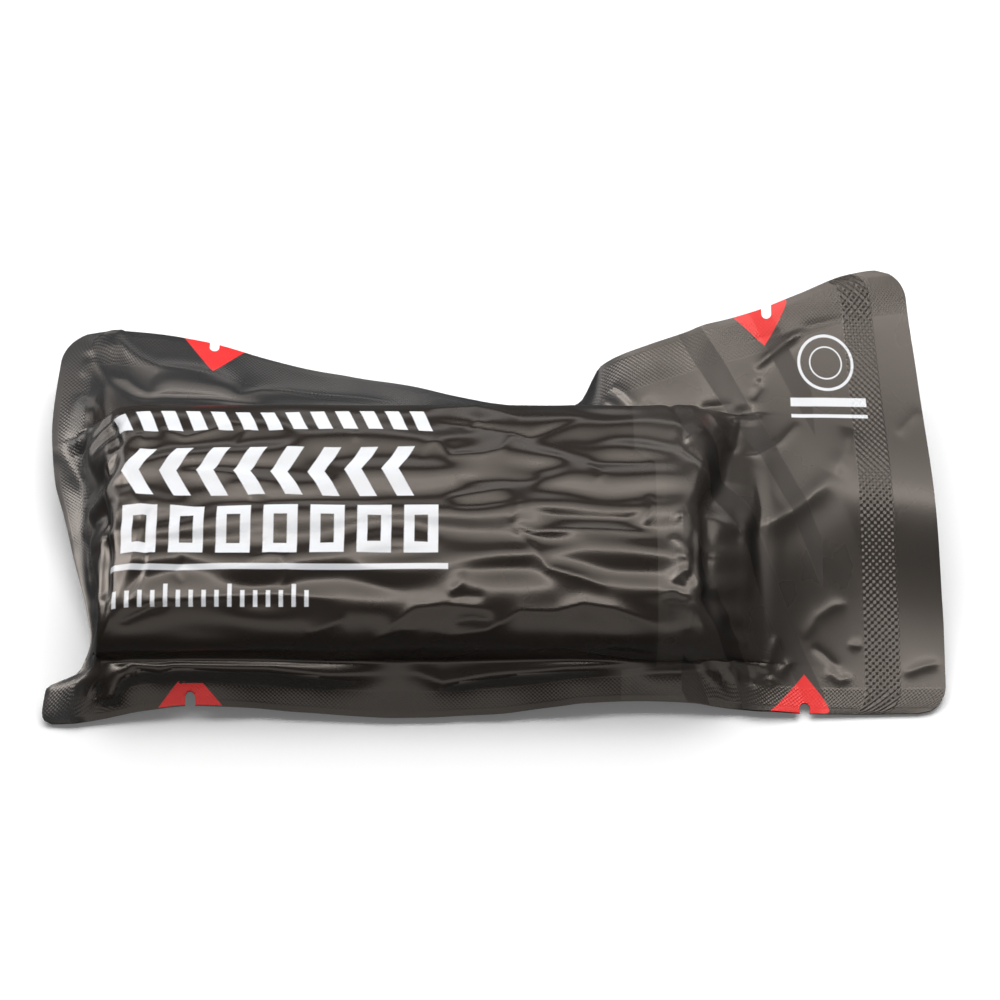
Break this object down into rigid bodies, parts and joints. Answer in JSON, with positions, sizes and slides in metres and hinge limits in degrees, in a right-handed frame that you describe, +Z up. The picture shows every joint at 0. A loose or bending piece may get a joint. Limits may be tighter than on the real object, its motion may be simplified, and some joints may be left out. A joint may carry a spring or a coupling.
{
  "type": "vacuum-packed trauma bandage",
  "caption": "Rolled pressure bandage sealed in a tight wrinkled film pouch with a flat rim, an empty tail and tear notches, lying on its back.",
  "frame": {"origin": "centre of the footprint on the surface that the pack lies on", "axes": "+X along the pouch towards its empty tail, +Y towards its far side, whose tail corner stands up, +Z up"},
  "size_m": [0.2314, 0.1178, 0.0372],
  "materials": {
    "printed_film": "satin-gloss brown-black laminate film with white print, red tear marks and embossed seals",
    "back_film": "satin-gloss brown-black laminate film with embossed seals",
    "elastic_bandage": "off-white woven elastic cotton"
  },
  "bodies": {
    "root": {"front_film": "printed_film", "back_film": "back_film", "bandage_roll": "elastic_bandage"}
  },
  "joints": []
}
